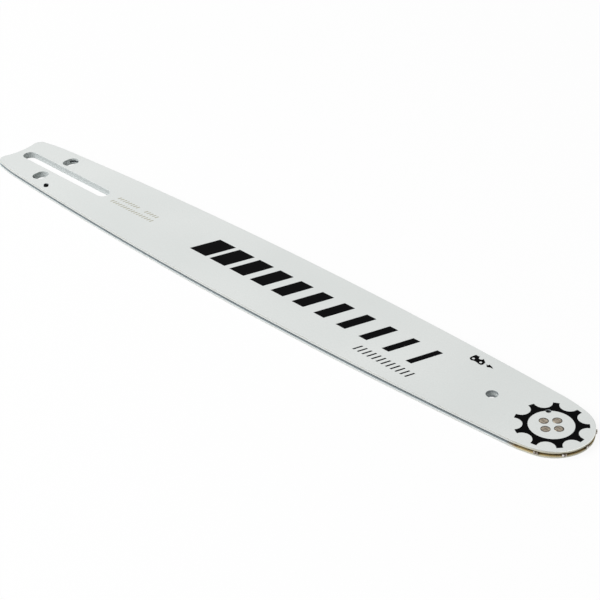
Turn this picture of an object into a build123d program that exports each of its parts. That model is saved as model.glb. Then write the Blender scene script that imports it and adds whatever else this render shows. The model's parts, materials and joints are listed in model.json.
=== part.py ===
"""A laminated chainsaw guide bar with a sprocket nose, in millimetres.

Two side plates hold a smaller core plate between them, and the step between their edges is the groove
that the chain's drive links run in. In the nose, a star sprocket turns on loose rollers round a race that
is riveted between the plates.

The bar lies flat: +X runs from the tail to the nose, +Z is up, and the origin is on the surface that it
lies on, under the middle of its length. Sketches are drawn with the nose axle at their own origin.
"""

import os
from math import asin, cos, floor, pi, radians, sin, sqrt, tan

from build123d import *

# Laminations
plate_thickness = 1.3
core_thickness = 1.5
groove_depth = 7.5
rail_chamfer = 0.25

# Long sides: one shallow arc each, which a tighter cheek arc leads into the round nose
bar_width = 57.9
widest_setback = 188.0
nose_flare = 1.3
cheek_radius = 75.0

# Tail end: a shallow hollow between two rounded corners, behind shoulders that lead the chain in
tail_setback = 426.3
tail_width = 33.4
tail_hollow = 3.7
tail_corner_radius = 5.0
shoulder_length = 27.0

# Stud slot, and beside it the two holes for the chain tensioner's pin
slot_width = 8.6
slot_length = 81.7
slot_tail_wall = 5.4
tensioner_hole_width = 7.9
tensioner_hole_length = 10.6
tensioner_slot_wall = 2.4
tensioner_tail_distance = 36.2

# Slanted oil hole into the groove, and the hole that takes a tip guard's bolt
oil_hole_width = 3.0
oil_hole_length = 5.0
oil_hole_angle = 141.0
oil_hole_rail_distance = 5.0
oil_hole_tail_distance = 49.3
tip_guard_hole_diameter = 6.4
tip_guard_setback = 37.2

# Roller bearing inside the sprocket
race_diameter = 19.4
roller_diameter = 3.0
roller_end_gap = 0.1
roller_spacing_gap = 0.12
bearing_clearance = 0.04
grease_hole_diameter = 2.8
grease_hole_angle = 135.0

# Nose sprocket
tooth_count = 10
tooth_height = 5.7
tooth_overhang = 0.7
tooth_tip_width = 2.4
tooth_tip_chamfer = 0.4
sprocket_ring_wall = 3.8
sprocket_side_gap = 0.1
sprocket_pocket_gap = 1.2

# Rivets through the nose
rivet_count = 4
rivet_circle_diameter = 9.4
rivet_shank_diameter = 4.4
rivet_head_diameter = 5.0
rivet_flare_angle = 60.0
rivet_clearance = 0.02

# Levels of the laminations
core_z = plate_thickness
upper_plate_z = core_z + core_thickness
bar_thickness = upper_plate_z + plate_thickness
middle_z = bar_thickness / 2

# The nose is sized from the inside out: race, rollers, sprocket, then the rails round it
roller_circle_radius = race_diameter / 2 + bearing_clearance + roller_diameter / 2
sprocket_bore_radius = roller_circle_radius + roller_diameter / 2 + bearing_clearance
tooth_root_radius = sprocket_bore_radius + sprocket_ring_wall
tooth_tip_radius = tooth_root_radius + tooth_height
pocket_radius = tooth_tip_radius + sprocket_pocket_gap
nose_radius = tooth_tip_radius - tooth_overhang

# The belly arc passes through the widest place and stands outside the round nose by the flare
belly_rise = bar_width / 2 - nose_radius - nose_flare
belly_radius = (widest_setback**2 + belly_rise**2) / (2 * belly_rise)
belly_centre = Vector(-widest_setback, bar_width / 2 - belly_radius)

# Each cheek arc lies inside the belly arc and round the nose arc, and meets both at a tangent
cheek_to_nose = cheek_radius - nose_radius
cheek_to_belly = belly_radius - cheek_radius
nose_to_belly = belly_centre.length
towards_belly = belly_centre.normalized()
cheek_along = (cheek_to_nose**2 - cheek_to_belly**2 + nose_to_belly**2) / (2 * nose_to_belly)
cheek_aside = sqrt(cheek_to_nose**2 - cheek_along**2)
cheek_centre = towards_belly * cheek_along + towards_belly.rotate(Axis.Z, -90) * cheek_aside

# Places along the bar, from the nose axle
slot_x = slot_tail_wall + slot_length / 2 - tail_setback
tensioner_x = tensioner_tail_distance - tail_setback
tensioner_y = slot_width / 2 + tensioner_slot_wall + tensioner_hole_length / 2
oil_hole_x = oil_hole_tail_distance - tail_setback
tail_corner_x = -tail_setback - tail_hollow
shoulder_x = tail_corner_x + shoulder_length


def half_width(x, inset=0.0):
    """Half the bar's width on its belly arc, or on an arc that lies inset from it."""
    return belly_centre.Y + sqrt((belly_radius - inset) ** 2 - (x + widest_setback) ** 2)


def tail_end_x(y):
    """Where the hollow end of the tail lies, at a distance y from the bar's middle line."""
    hollow_radius = ((tail_width / 2) ** 2 + tail_hollow**2) / (2 * tail_hollow)
    return -tail_setback - hollow_radius + sqrt(hollow_radius**2 - y**2)


def level(z):
    """A plane at height z with the nose axle at its origin."""
    return Plane((nose_x, 0, z))


def cut_through_holes():
    """Cut the stud slot, the tensioner holes and the tip guard's hole, which pass through every lamination."""
    with Locations((slot_x, 0)):
        SlotOverall(slot_length, slot_width, mode=Mode.SUBTRACT)
    with Locations((tensioner_x, tensioner_y), (tensioner_x, -tensioner_y)):
        SlotOverall(tensioner_hole_length, tensioner_hole_width, rotation=90, mode=Mode.SUBTRACT)
    with Locations((-tip_guard_setback, 0)):
        Circle(tip_guard_hole_diameter / 2, mode=Mode.SUBTRACT)


def finish(builder, name):
    """Label a finished piece and write it out."""
    builder.part.label = name
    export_step(builder.part, f"parts/{name}.step")


os.makedirs("parts", exist_ok=True)

# Outline of the side plates: one half from the nose's tip to the tail's middle, mirrored
cheek_nose_end = cheek_centre * (-nose_radius / cheek_to_nose)
cheek_belly_end = belly_centre + (cheek_centre - belly_centre) * (belly_radius / cheek_to_belly)
widest_point = (-widest_setback, bar_width / 2)
shoulder_point = (shoulder_x, half_width(shoulder_x))
tail_corner = (tail_corner_x, tail_width / 2)
tail_middle = (-tail_setback, 0)

with BuildSketch() as bar_outline:
    with BuildLine():
        nose = TangentArc((nose_radius, 0), cheek_nose_end, tangent=(0, 1))
        TangentArc(cheek_nose_end, cheek_belly_end, tangent=nose % 1)
        belly = ThreePointArc(cheek_belly_end, widest_point, shoulder_point)
        TangentArc(shoulder_point, tail_corner, tangent=belly % 1)
        TangentArc(tail_middle, tail_corner, tangent=(0, 1))
        mirror(about=Plane.XZ)
    make_face()
    fillet(bar_outline.vertices().group_by(Axis.X)[0], tail_corner_radius)

# The tooth that points straight ahead and the tail's corners are the ends of the bar
nose_x = -(tooth_tip_radius + bar_outline.sketch.bounding_box().min.X) / 2

# Upper side plate: the full outline, with an oil hole into the groove and a grease hole over the rollers
oil_hole_y = half_width(oil_hole_x) - oil_hole_rail_distance

with BuildPart() as side_plate_upper:
    with BuildSketch(level(upper_plate_z)):
        add(bar_outline.sketch)
        cut_through_holes()
        with Locations((oil_hole_x, -oil_hole_y)):
            SlotOverall(oil_hole_length, oil_hole_width, rotation=oil_hole_angle, mode=Mode.SUBTRACT)
        with PolarLocations(roller_circle_radius, 1, start_angle=grease_hole_angle):
            Circle(grease_hole_diameter / 2, mode=Mode.SUBTRACT)
    extrude(amount=plate_thickness)
    chamfer(side_plate_upper.faces().sort_by(Axis.Z)[-1].outer_wire().edges(), rail_chamfer)
    with Locations(level(bar_thickness)):
        with PolarLocations(rivet_circle_diameter / 2, rivet_count):
            CounterSinkHole(
                radius=rivet_shank_diameter / 2,
                counter_sink_radius=rivet_head_diameter / 2,
                counter_sink_angle=rivet_flare_angle,
            )
finish(side_plate_upper, "side_plate_upper")

# Lower side plate: the same stamping turned over about the bar's long axis
turning_axis = Axis((0, 0, middle_z), (1, 0, 0))

with BuildPart() as side_plate_lower:
    add(side_plate_upper.part.rotate(turning_axis, 180))
finish(side_plate_lower, "side_plate_lower")

# Core plate: set back from the rails by the groove's depth, and hollowed at the nose for the sprocket
core_front_x = -pocket_radius / 2
core_tail_y = tail_width / 2 - groove_depth
core_front = (core_front_x, half_width(core_front_x, groove_depth))
core_widest = (-widest_setback, half_width(-widest_setback, groove_depth))
core_shoulder = (shoulder_x, half_width(shoulder_x, groove_depth))
core_tail = (tail_end_x(core_tail_y), core_tail_y)

with BuildPart() as core_plate:
    with BuildSketch(level(core_z)):
        with BuildLine():
            Line((core_front_x, 0), core_front)
            groove_floor = ThreePointArc(core_front, core_widest, core_shoulder)
            TangentArc(core_shoulder, core_tail, tangent=groove_floor % 1)
            TangentArc(tail_middle, core_tail, tangent=(0, 1))
            mirror(about=Plane.XZ)
        make_face()
        Circle(pocket_radius, mode=Mode.SUBTRACT)
        cut_through_holes()
    extrude(amount=core_thickness)
finish(core_plate, "core_plate")

# Nose sprocket: round gullets between teeth that taper to narrow tips with broken corners
half_gullet_angle = pi / tooth_count - asin(tooth_tip_width / 2 / tooth_tip_radius)
gullet_depth = tooth_tip_radius * cos(half_gullet_angle) - tooth_root_radius
gullet_half_width = tooth_tip_radius * sin(half_gullet_angle)
gullet_radius = (gullet_depth**2 + gullet_half_width**2) / (2 * gullet_depth)

with BuildPart() as nose_sprocket:
    with BuildSketch(level(core_z + sprocket_side_gap)) as sprocket_profile:
        Circle(tooth_tip_radius)
        with PolarLocations(tooth_root_radius + gullet_radius, tooth_count, start_angle=180 / tooth_count):
            Circle(gullet_radius, mode=Mode.SUBTRACT)
        chamfer(sprocket_profile.vertices(), tooth_tip_chamfer)
        Circle(sprocket_bore_radius, mode=Mode.SUBTRACT)
    extrude(amount=core_thickness - 2 * sprocket_side_gap)
finish(nose_sprocket, "nose_sprocket")

# Bearing race: a disc as thick as the core, clamped between the side plates by the rivets
with BuildPart() as bearing_race:
    with BuildSketch(level(core_z)):
        Circle(race_diameter / 2)
        with PolarLocations(rivet_circle_diameter / 2, rivet_count):
            Circle(rivet_shank_diameter / 2, mode=Mode.SUBTRACT)
    extrude(amount=core_thickness)
finish(bearing_race, "bearing_race")

# Rollers: as many as the ring between the race and the sprocket holds
roller_half_step = asin((roller_diameter + roller_spacing_gap) / 2 / roller_circle_radius)
roller_count = floor(pi / roller_half_step)

for number in range(1, roller_count + 1):
    roller_angle = (number - 1) * 360 / roller_count
    with BuildPart() as bearing_roller:
        with BuildSketch(level(core_z + roller_end_gap)):
            with PolarLocations(roller_circle_radius, 1, start_angle=roller_angle):
                Circle(roller_diameter / 2)
        extrude(amount=core_thickness - 2 * roller_end_gap)
    finish(bearing_roller, f"bearing_roller_{number:02d}")

# Rivets: flared into the plates' countersinks at both ends and ground flush with the faces
shank_radius = rivet_shank_diameter / 2 - rivet_clearance
head_radius = rivet_head_diameter / 2 - rivet_clearance
flare_height = (head_radius - shank_radius) / tan(radians(rivet_flare_angle / 2))
flare_start = (shank_radius, bar_thickness - flare_height)

with BuildPart() as rivet:
    with BuildSketch(Plane.XZ):
        with BuildLine():
            Polyline(
                (0, middle_z),
                (shank_radius, middle_z),
                flare_start,
                (head_radius, bar_thickness),
                (0, bar_thickness),
                close=True,
            )
        make_face()
    revolve(axis=Axis.Z)
    mirror(about=Plane.XY.offset(middle_z))

with BuildPart() as nose_rivets:
    with Locations(level(0)):
        with PolarLocations(rivet_circle_diameter / 2, rivet_count):
            add(rivet.part)
finish(nose_rivets, "nose_rivets")
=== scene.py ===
"""Guide Bar Dresser: the looks of a laminated chainsaw guide bar, built round its fixed frame.

Everything is in metres and in the frame's own place: +X runs from the tail to the nose and +Z is up through
the thickness. Outlines and prints are drawn in plan, with the nose axle at their own origin.
"""

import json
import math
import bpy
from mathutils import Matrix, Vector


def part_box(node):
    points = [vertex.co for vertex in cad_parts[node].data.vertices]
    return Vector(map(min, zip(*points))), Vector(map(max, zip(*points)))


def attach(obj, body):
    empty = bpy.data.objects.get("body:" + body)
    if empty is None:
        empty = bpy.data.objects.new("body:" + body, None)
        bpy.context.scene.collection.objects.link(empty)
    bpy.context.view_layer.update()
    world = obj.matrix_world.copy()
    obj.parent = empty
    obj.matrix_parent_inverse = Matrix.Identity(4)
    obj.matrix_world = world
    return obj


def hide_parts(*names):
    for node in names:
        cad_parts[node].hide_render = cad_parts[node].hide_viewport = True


bl_info = {
    "name": "Guide Bar Dresser",
    "version": (1, 0, 0),
    "blender": (4, 5, 0),
    "location": "3D View > Sidebar > Guide Bar",
    "description": "Dresses a chainsaw guide bar with painted plates, sprocket, rivets and printed signs",
    "category": "Add Mesh",
}

from functools import partial

import bmesh
import bpy
from bpy.props import FloatProperty, FloatVectorProperty, IntProperty, PointerProperty
from mathutils import Matrix, Vector
from mathutils.geometry import tessellate_polygon

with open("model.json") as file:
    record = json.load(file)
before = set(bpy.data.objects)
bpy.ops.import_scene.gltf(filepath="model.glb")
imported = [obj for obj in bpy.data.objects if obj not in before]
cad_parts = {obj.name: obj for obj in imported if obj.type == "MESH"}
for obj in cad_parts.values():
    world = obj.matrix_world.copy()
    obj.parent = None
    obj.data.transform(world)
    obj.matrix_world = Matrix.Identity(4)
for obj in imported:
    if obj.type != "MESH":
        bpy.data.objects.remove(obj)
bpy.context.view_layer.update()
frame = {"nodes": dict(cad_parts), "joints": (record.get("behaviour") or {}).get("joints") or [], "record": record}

MM = 0.001

# Facts of the frame
MOUNTS = {mount["name"]: mount for mount in frame["record"]["mounts"]}
AXLE = Vector(next(joint["pos_m"] for joint in frame["joints"] if joint["name"] == "sprocket_spin"))
PLATE_LOW, PLATE_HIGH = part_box("side_plate_upper")
SPROCKET_LOW, SPROCKET_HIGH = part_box("nose_sprocket")
FACE_Z = PLATE_HIGH.z
GROOVE_TOP_Z = PLATE_LOW.z
HALF_WIDTH = PLATE_HIGH.y
TIP_RADIUS = SPROCKET_HIGH.x - AXLE.x
ROLLERS = sorted(name for name in frame["nodes"] if name.startswith("bearing_roller"))

# The groove's mount stands where the bar is widest
WIDEST_SETBACK = AXLE.x - MOUNTS["chain_groove"]["pos_m"][0]

# How far a facet may stand off the true curve
CHORD_ERROR = 0.005 * MM

# The sharpest fold that is still shaded as smooth, and the least Z of a flat face's normal
SMOOTH_ANGLE = math.radians(32)
FLAT = 0.999

# Attribute of a plate's points: 1 deep in the chain's groove, 0 at its mouth
DEEP = "groove_depth"

# Attribute of the rivets' points: 0 on the flat of a head and 1 at the foot of its rounded rim
RIM = "rim_fall"

# Settings of a Mix node that lays one colour over another, and of one that stains it with another
LAID_OVER = {"data_type": "RGBA"}
STAINED = {**LAID_OVER, "blend_type": "MULTIPLY"}

# Settings of a Boolean node that cuts, and the depth of what cuts in thicknesses of what is cut
CUT = {"operation": "DIFFERENCE", "solver": "EXACT"}
CUTTER_DEPTH = 3.0

# Kinds of socket for the values that a shape is grown from
SOCKETS = {int: "Int", float: "Float", Vector: "Vector", bpy.types.Material: "Material"}

WHITE = (1, 1, 1, 1)


def linear(hex_code):
    """The linear colour, with full alpha, of an sRGB hex value."""
    channels = [int(hex_code[i : i + 2], 16) / 255 for i in (1, 3, 5)]
    return [c / 12.92 if c <= 0.04045 else ((c + 0.055) / 1.055) ** 2.4 for c in channels] + [1.0]


def length(name, description, millimetres):
    """A length property whose default is given in millimetres."""
    return FloatProperty(
        name=name, description=description, default=millimetres * MM, unit="LENGTH", precision=5,
    )


def position(name, description, *millimetres):
    """A position property whose default is given in millimetres."""
    return FloatVectorProperty(
        name=name, description=description, default=[each * MM for each in millimetres],
        size=len(millimetres), subtype="XYZ", unit="LENGTH",
    )


def angle(name, description, degrees):
    """An angle property whose default is given in degrees."""
    return FloatProperty(name=name, description=description, default=math.radians(degrees), subtype="ANGLE")


def colour(name, description, hex_code):
    """A colour property whose default is an sRGB hex value."""
    return FloatVectorProperty(
        name=name, description=description, default=linear(hex_code), size=4, subtype="COLOR",
    )


def plain_number(name, description, default):
    """A property that has no unit."""
    return FloatProperty(name=name, description=description, default=default)


def whole_number(name, description, default, least=2):
    """A property that counts."""
    return IntProperty(name=name, description=description, default=default, min=least)


class GuideBarOutline(bpy.types.PropertyGroup):
    """Plan outline of the side plates, and the holes that the frame's record gives no size for"""

    tooth_overhang: length("Tooth overhang", "How far the sprocket's tips stand out of the rails", 0.7)
    nose_flare: length("Nose flare", "How far the belly arc, drawn on, passes outside the round nose", 1.3)
    cheek_radius: length("Cheek radius", "Arc between the round nose and the belly", 75.0)
    tail_setback: length("Tail setback", "From the nose axle to the middle of the tail's end", 426.3)
    tail_width: length("Tail width", "Between the tail's corners before they are rounded", 33.4)
    tail_hollow: length("Tail hollow", "Depth of the shallow hollow in the tail's end", 3.7)
    tail_corner: length("Tail corner", "Rounding of the tail's corners", 5.0)
    shoulder_length: length("Shoulder length", "Along the bar, from the tail's corners to the belly", 27.0)
    rail_chamfer: length("Rail chamfer", "Ground flat along the rails' outer edges", 0.25)
    edge_break: length("Edge break", "Rounding of the holes' edges and the rails' inner edges", 0.08)
    mouth_depth: length("Mouth depth", "How far light and wear reach into the chain's groove", 2.4)
    slot_length: length("Slot length", "Stud slot, end to end", 81.7)
    slot_width: length("Slot width", "Stud slot, across", 8.6)
    oil_length: length("Oil hole length", "Slanted oil hole, end to end", 5.0)
    oil_width: length("Oil hole width", "Slanted oil hole, across", 3.0)
    oil_turn: angle("Oil hole turn", "From the bar's length to the oil hole's own length", 141.0)


class GuideBarNose(bpy.types.PropertyGroup):
    """Sprocket, rivets and their holes"""

    tooth_count: whole_number("Teeth", "Teeth of the nose sprocket", 10, least=6)
    tooth_root: length("Tooth root", "Radius at the bottom of the sprocket's gullets", 16.58)
    tooth_tip_width: length("Tip width", "Width of a sprocket tooth at its tip", 2.4)
    sprocket_bore: length("Sprocket bore", "Radius of the sprocket's bore round the rollers", 12.78)
    sprocket_edge: length("Sprocket edge", "Worn rounding of the sprocket's edges", 0.16)
    rivet_count: whole_number("Rivets", "Rivets round the nose axle", 4)
    rivet_circle: length("Rivet circle", "Radius of the circle that the rivets stand on", 4.7)
    rivet_shank: length("Rivet shank", "Radius of the rivets' holes below their countersinks", 2.2)
    rivet_head: length("Rivet head", "Radius of the countersinks at the faces", 2.5)
    rivet_flare: length("Rivet flare", "Depth of the countersinks", 0.52)
    rivet_gap: length("Rivet gap", "Fine gap round each rivet", 0.03)
    rivet_rim: length("Rivet rim", "Width of the rounded rim that the riveting tool leaves", 0.65)
    rivet_drop: length("Rivet drop", "How far that rim falls below the faces", 0.2)


class GuideBarSigns(bpy.types.PropertyGroup):
    """Printed and etched signs on the upper face, placed from the nose axle"""

    film: length("Ink film", "How far the ink stands on the paint", 0.015)
    star_teeth: whole_number("Star teeth", "Teeth of the printed star", 9, least=6)
    star_tip: length("Star tip", "Radius of the printed star's tips", 18.7)
    star_scallop: length("Star scallop", "Radius of the round gaps between its teeth", 4.85)
    star_scallop_distance: length("Scallop distance", "From the nose axle to the middle of a gap", 18.9)
    star_bore: length("Star bore", "Radius of the bare disc inside the star", 11.55)
    bar_count: whole_number("Bars", "Slanted bars in the printed band", 11)
    bar_pitch: length("Bar pitch", "From bar to bar", 16.2)
    bar_height: length("Bar height", "Across the guide bar", 18.5)
    bar_first: length("First bar", "Width of the bar next to the tail", 13.5)
    bar_last: length("Last bar", "Width of the bar next to the nose", 4.0)
    bar_start: position("Bar start", "Middle of the first bar", -245.5, 1.5)
    tick_count: whole_number("Ticks", "Small ticks beside the band", 12)
    tick_pitch: length("Tick pitch", "From tick to tick", 3.3)
    tick_height: length("Tick height", "Across the guide bar", 5.6)
    tick_width: length("Tick width", "Along the guide bar", 1.1)
    tick_start: position("Tick start", "Middle of the first tick", -114.5, -15.9)
    slant: plain_number("Slant", "Lean of the bars, ticks and etched marks towards the nose", 0.32)
    etch_pitch: length("Etch pitch", "From mark to mark in the etched rows", 2.4)
    etch_height: length("Etch height", "Height of the etched marks", 2.5)
    etch_width: length("Etch width", "Width of the etched marks", 1.0)
    link_place: position("Link place", "Middle of the link in the direction sign", -61.6, 17.9)
    link_dot: length("Link dot", "Radius of the two bare dots in the link", 0.74)


class GuideBarFinish(bpy.types.PropertyGroup):
    """Colours of the finishes"""

    enamel: colour("Enamel", "Silver-grey enamel on the faces", "#DCE0DE")
    enamel_grain: colour("Enamel grain", "Lighter grain in the enamel", "#E5E8E6")
    rubbed: colour("Rubbed enamel", "Enamel rubbed thin along the plates' edges", "#B8B7B0")
    bright_edge: colour("Bright edge", "Edge polished by the chain round the nose's tip", "#F1F3EE")
    rail: colour("Rail", "Ground steel of the rails", "#C6CAC9")
    rail_line: colour("Rail line", "Brighter lines in the ground steel", "#D8DAD7")
    rail_straw: colour("Rail straw", "Faint temper tint of the rails round the nose", "#F6F0DE")
    rail_grease: colour("Rail grease", "Grease along the groove's mouth at the nose", "#B0A07C")
    rolled: colour("Rolled steel", "Bare rolled steel inside the groove", "#B5BEC1")
    groove_oil: colour("Groove oil", "Oil that darkens the steel between the plates", "#3C3733")
    straw: colour("Straw", "Temper colour of the hardened nose", "#D0BC88")
    temper_brown: colour("Temper brown", "Temper colour where the straw ends", "#A8916A")
    punched: colour("Punched steel", "Sheared walls of the slot and the tensioner's holes", "#C8CDCC")
    punch_stroke: colour("Punch stroke", "Darker strokes in the sheared walls", "#BAC0C0")
    old_oil: colour("Old oil", "Film of old oil on the walls that face the nose", "#BFC3BF")
    bored: colour("Bored steel", "Drilled walls of the holes near the nose", "#A3A9AB")
    bored_line: colour("Bored line", "Darker rings in the drilled walls", "#83898C")
    oiled: colour("Oiled steel", "Oil-wet walls of the small holes", "#242628")
    sprocket: colour("Sprocket", "Greased steel of the sprocket", "#5E5245")
    tooth_tip: colour("Tooth tip", "Steel polished by the chain", "#E2DEDA")
    bearing: colour("Bearing", "Ground bearing steel", "#B9BBBE")
    rivet: colour("Rivet", "Peened rivet steel", "#6A5F52")
    rivet_scuff: colour("Rivet scuff", "Scuffs on the rivets", "#B3A897")
    rivet_dirt: colour("Rivet dirt", "Oily dirt that has settled round the rivets' rims", "#3A322A")
    rivet_worn: colour("Rivet worn", "Bare steel where the rims are worn", "#C4B8A2")
    ink: colour("Ink", "Black screen print", "#060607")
    etch: colour("Etch", "Etched marks", "#B9B7A6")


class GuideBarStage(bpy.types.PropertyGroup):
    """Camera, floor and light"""

    azimuth: angle("Azimuth", "Turn of the camera about the bar", 45.482)
    elevation: angle("Elevation", "Height of the camera over the floor", 32.355)
    roll: angle("Roll", "Lean of the camera", 1.098)
    aim: position("Aim", "Middle of the picture, from the nose axle", -169.245, -3.805, 2.05)
    distance: length("Distance", "From the camera to the aim", 905.42)
    lens: plain_number("Lens", "Focal length in millimetres", 99.171)
    sensor: plain_number("Sensor", "Width of the camera's sensor in millimetres", 36.0)
    floor_size: length("Floor size", "Side of the floor", 8000.0)
    floor_drop: length("Floor drop", "Gap that keeps the floor out of the lower face", 0.05)
    floor_white: plain_number("Floor white", "Share of plain white in the floor as seen", 0.9)
    sky: plain_number("Sky", "Light from all round", 0.28)
    softbox_size: length("Softbox size", "Side of the lamp above", 3300.0)
    softbox_power: plain_number("Softbox power", "Lamp above, in watts", 134.0)
    softbox_place: position("Softbox place", "Where the lamp above hangs", -1350.0, -1950.0, 2400.0)


class GuideBarSettings(bpy.types.PropertyGroup):
    """All sizes and colours of the dressed bar"""

    outline: PointerProperty(type=GuideBarOutline)
    nose: PointerProperty(type=GuideBarNose)
    signs: PointerProperty(type=GuideBarSigns)
    finish: PointerProperty(type=GuideBarFinish)
    stage: PointerProperty(type=GuideBarStage)


def add_node(tree, kind, inputs=None, **settings):
    """Add a node with its settings and inputs.

    An input is given a value, or linked from a socket, a node or a list of those. A node stands for its
    first output in use, and a name for the first input in use that has it.
    """
    node = tree.nodes.new(kind)
    for name, value in settings.items():
        setattr(node, name, value)
    for name, sources in (inputs or {}).items():
        named = (socket for socket in node.inputs if socket.enabled and socket.name == name)
        target = node.inputs[name] if isinstance(name, int) else next(named)
        for source in sources if isinstance(sources, list) else [sources]:
            if isinstance(source, bpy.types.Node):
                source = next(socket for socket in source.outputs if socket.enabled)
            if isinstance(source, bpy.types.NodeSocket):
                tree.links.new(source, target)
            else:
                target.default_value = source
    return node


def empty_tree(owner):
    """Empty the node tree of a material or a world, and give the function that adds nodes to it."""
    owner.use_nodes = True
    owner.node_tree.nodes.clear()
    return partial(add_node, owner.node_tree)


def finished(recipe, finish):
    """The material of a finish, made on first use and named for its recipe.

    A recipe adds nodes that read the piece's own coordinates, and gives the main shader's inputs.
    """
    material = bpy.data.materials.get(recipe.__name__)
    if not material:
        material = bpy.data.materials.new(recipe.__name__)
        add = empty_tree(material)
        place = add("ShaderNodeTexCoord").outputs["Object"]
        shader = add("ShaderNodeBsdfPrincipled", recipe(add, place, finish))
        add("ShaderNodeOutputMaterial", {"Surface": shader})
    return material


def satin_enamel(add, place, finish):
    """Stoved silver-grey enamel, sprayed: satin, nearly neutral, with fine grain and a faint orange peel."""
    grain_size = 0.8 * MM
    drift_size = 70 * MM
    peel_size = 1.6 * MM
    peel_height = 0.05 * MM
    grain = add("ShaderNodeTexNoise", {"Vector": place, "Scale": 1 / grain_size, "Detail": 3.0})
    drift = add("ShaderNodeTexNoise", {"Vector": place, "Scale": 1 / drift_size, "Detail": 1.0})
    blend = add("ShaderNodeMath", {0: grain, 1: drift}, operation="MULTIPLY")
    share = add("ShaderNodeMapRange", {"Value": blend, "From Min": 0.1, "From Max": 0.42})
    tint = add("ShaderNodeMix", {"Factor": share, "A": finish.enamel, "B": finish.enamel_grain}, **LAID_OVER)
    peel = add("ShaderNodeTexNoise", {"Vector": place, "Scale": 1 / peel_size, "Detail": 1.0})
    bump = add("ShaderNodeBump", {"Height": peel, "Strength": 0.06, "Distance": peel_height})
    return {"Base Color": tint, "Roughness": 0.42, "Normal": bump}


def rubbed_enamel(add, place, finish):
    """Enamel rubbed thin along the edge by the chain: dull warm grey, with bare steel in short streaks.

    Round the nose's tip the chain has polished the edge to bright steel.
    """
    streak_size = 4 * MM
    bright_start = AXLE.x + 13 * MM
    bright_full = AXLE.x + 18 * MM
    streaks = add("ShaderNodeTexNoise", {"Vector": place, "Scale": 1 / streak_size, "Detail": 3.0})
    bare = add("ShaderNodeMapRange", {"Value": streaks, "From Min": 0.4, "From Max": 0.7})
    tint = add("ShaderNodeMix", {"Factor": bare, "A": finish.rubbed, "B": finish.rail}, **LAID_OVER)
    along = add("ShaderNodeSeparateXYZ", {"Vector": place}).outputs["X"]
    bright = add("ShaderNodeMapRange", {"Value": along, "From Min": bright_start, "From Max": bright_full})
    polished = add("ShaderNodeMix", {"Factor": bright, "A": tint, "B": finish.bright_edge}, **LAID_OVER)
    rough = add("ShaderNodeMapRange", {"Value": bright, "To Min": 0.6, "To Max": 0.25})
    return {"Base Color": polished, "Metallic": bright, "Roughness": rough, "Specular IOR Level": 0.2}


def nose_heat(add, place, spread):
    """A node that gives 1 on the hardened nose and 0 on the rest of the bar, along a border that wanders."""
    straw_end = AXLE.x - 2 * MM
    brown_end = AXLE.x - 9 * MM
    wander_size = 3 * MM
    wander = add("ShaderNodeMapRange", {"Value": spread, "To Min": -wander_size, "To Max": wander_size})
    along = add("ShaderNodeSeparateXYZ", {"Vector": place}).outputs["X"]
    border = add("ShaderNodeMath", {0: along, 1: wander}, operation="ADD")
    return add("ShaderNodeMapRange", {"Value": border, "From Min": brown_end, "From Max": straw_end})


def ground_steel(add, place, finish):
    """Carbon steel ground along the rails: bright, with fine lines that run lengthwise.

    The real lines are finer than a pixel, so they are drawn 0.6 mm apart. The hardened nose has a faint
    straw tint, and grease has crept out of its bearing on to the edges of the groove.
    """
    line_size = 0.6 * MM
    line_length = 14 * MM
    grease_reach = 0.4 * MM
    groove_half = GROOVE_TOP_Z - FACE_Z / 2
    stretch = (1 / line_length, 1 / line_length, 1 / line_size)
    spread = add("ShaderNodeMapping", {"Vector": place, "Scale": stretch})
    lines = add("ShaderNodeTexNoise", {"Vector": spread, "Scale": 1.0, "Detail": 2.0})
    tint = add("ShaderNodeMix", {"Factor": lines, "A": finish.rail, "B": finish.rail_line}, **LAID_OVER)
    rough = add("ShaderNodeMapRange", {"Value": lines, "To Min": 0.28, "To Max": 0.5})
    heat = nose_heat(add, place, lines)
    tempered = add("ShaderNodeMix", {"Factor": heat, "A": tint, "B": finish.rail_straw}, **STAINED)
    height = add("ShaderNodeSeparateXYZ", {"Vector": place}).outputs["Z"]
    above_middle = add("ShaderNodeMath", {0: height, 1: FACE_Z / 2}, operation="SUBTRACT")
    from_middle = add("ShaderNodeMath", {0: above_middle}, operation="ABSOLUTE")
    mouth = add("ShaderNodeMapRange", {
        "Value": from_middle, "From Min": groove_half, "From Max": groove_half + grease_reach,
        "To Min": 1.0, "To Max": 0.0,
    })
    film = add("ShaderNodeMath", {0: heat, 1: mouth}, operation="MULTIPLY")
    greased = add("ShaderNodeMix", {"Factor": film, "A": tempered, "B": finish.rail_grease}, **STAINED)
    return {"Base Color": greased, "Metallic": 0.3, "Roughness": rough}


def oil_pool(add, place):
    """A node that gives 1 between the plates round the oil holes, where oil gathers, and 0 elsewhere."""
    pool_edge = 4.5 * MM
    pool_end = 5.5 * MM
    in_plan = add("ShaderNodeVectorMath", {0: place, 1: (1, 1, 0)}, operation="MULTIPLY")
    pools = []
    for name in ("oil_hole_upper", "oil_hole_lower"):
        x, y = MOUNTS[name]["pos_m"][:2]
        away = add("ShaderNodeVectorMath", {0: in_plan, 1: (x, y, 0)}, operation="DISTANCE")
        pools.append(add("ShaderNodeMapRange", {"Value": away, "From Min": pool_end, "From Max": pool_edge}))
    return add("ShaderNodeMath", {0: pools[0], 1: pools[1]}, operation="MAXIMUM")


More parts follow.
